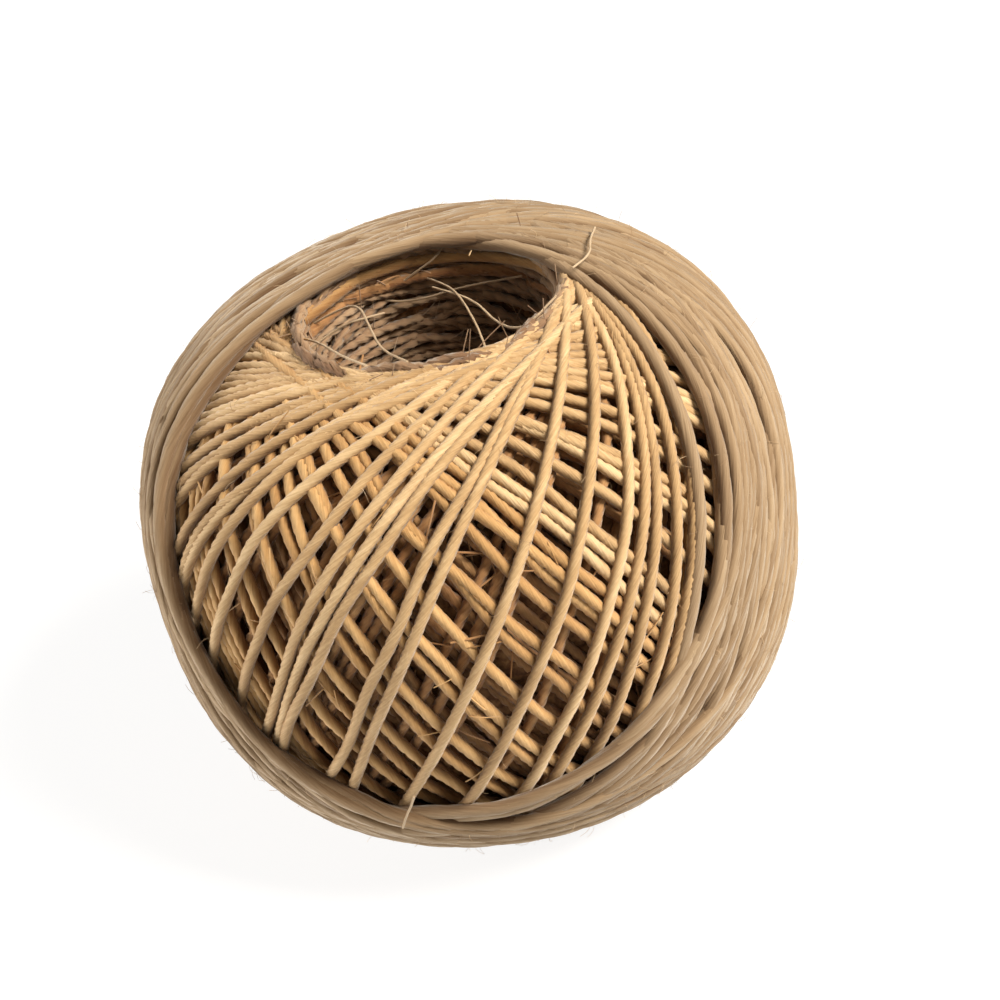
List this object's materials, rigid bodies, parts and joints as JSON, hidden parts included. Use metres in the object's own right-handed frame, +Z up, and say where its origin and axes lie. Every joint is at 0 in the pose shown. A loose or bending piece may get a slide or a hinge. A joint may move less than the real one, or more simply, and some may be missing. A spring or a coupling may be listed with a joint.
{
  "type": "ball of string",
  "caption": "Ball of rough plant-fibre string, wound in slanting turns round an open hole and standing on its flattened lower end.",
  "frame": {"origin": "under the ball's axis, on the flat face that it stands on", "axes": "+Z up along the hole's axis, out of the upper mouth; +X to the right and -Y towards someone in front of it"},
  "size_m": [0.09, 0.0893, 0.074],
  "materials": {
    "string": "matte, hairy twisted fibre"
  },
  "bodies": {
    "root": {"string_ball": "string"}
  },
  "joints": []
}
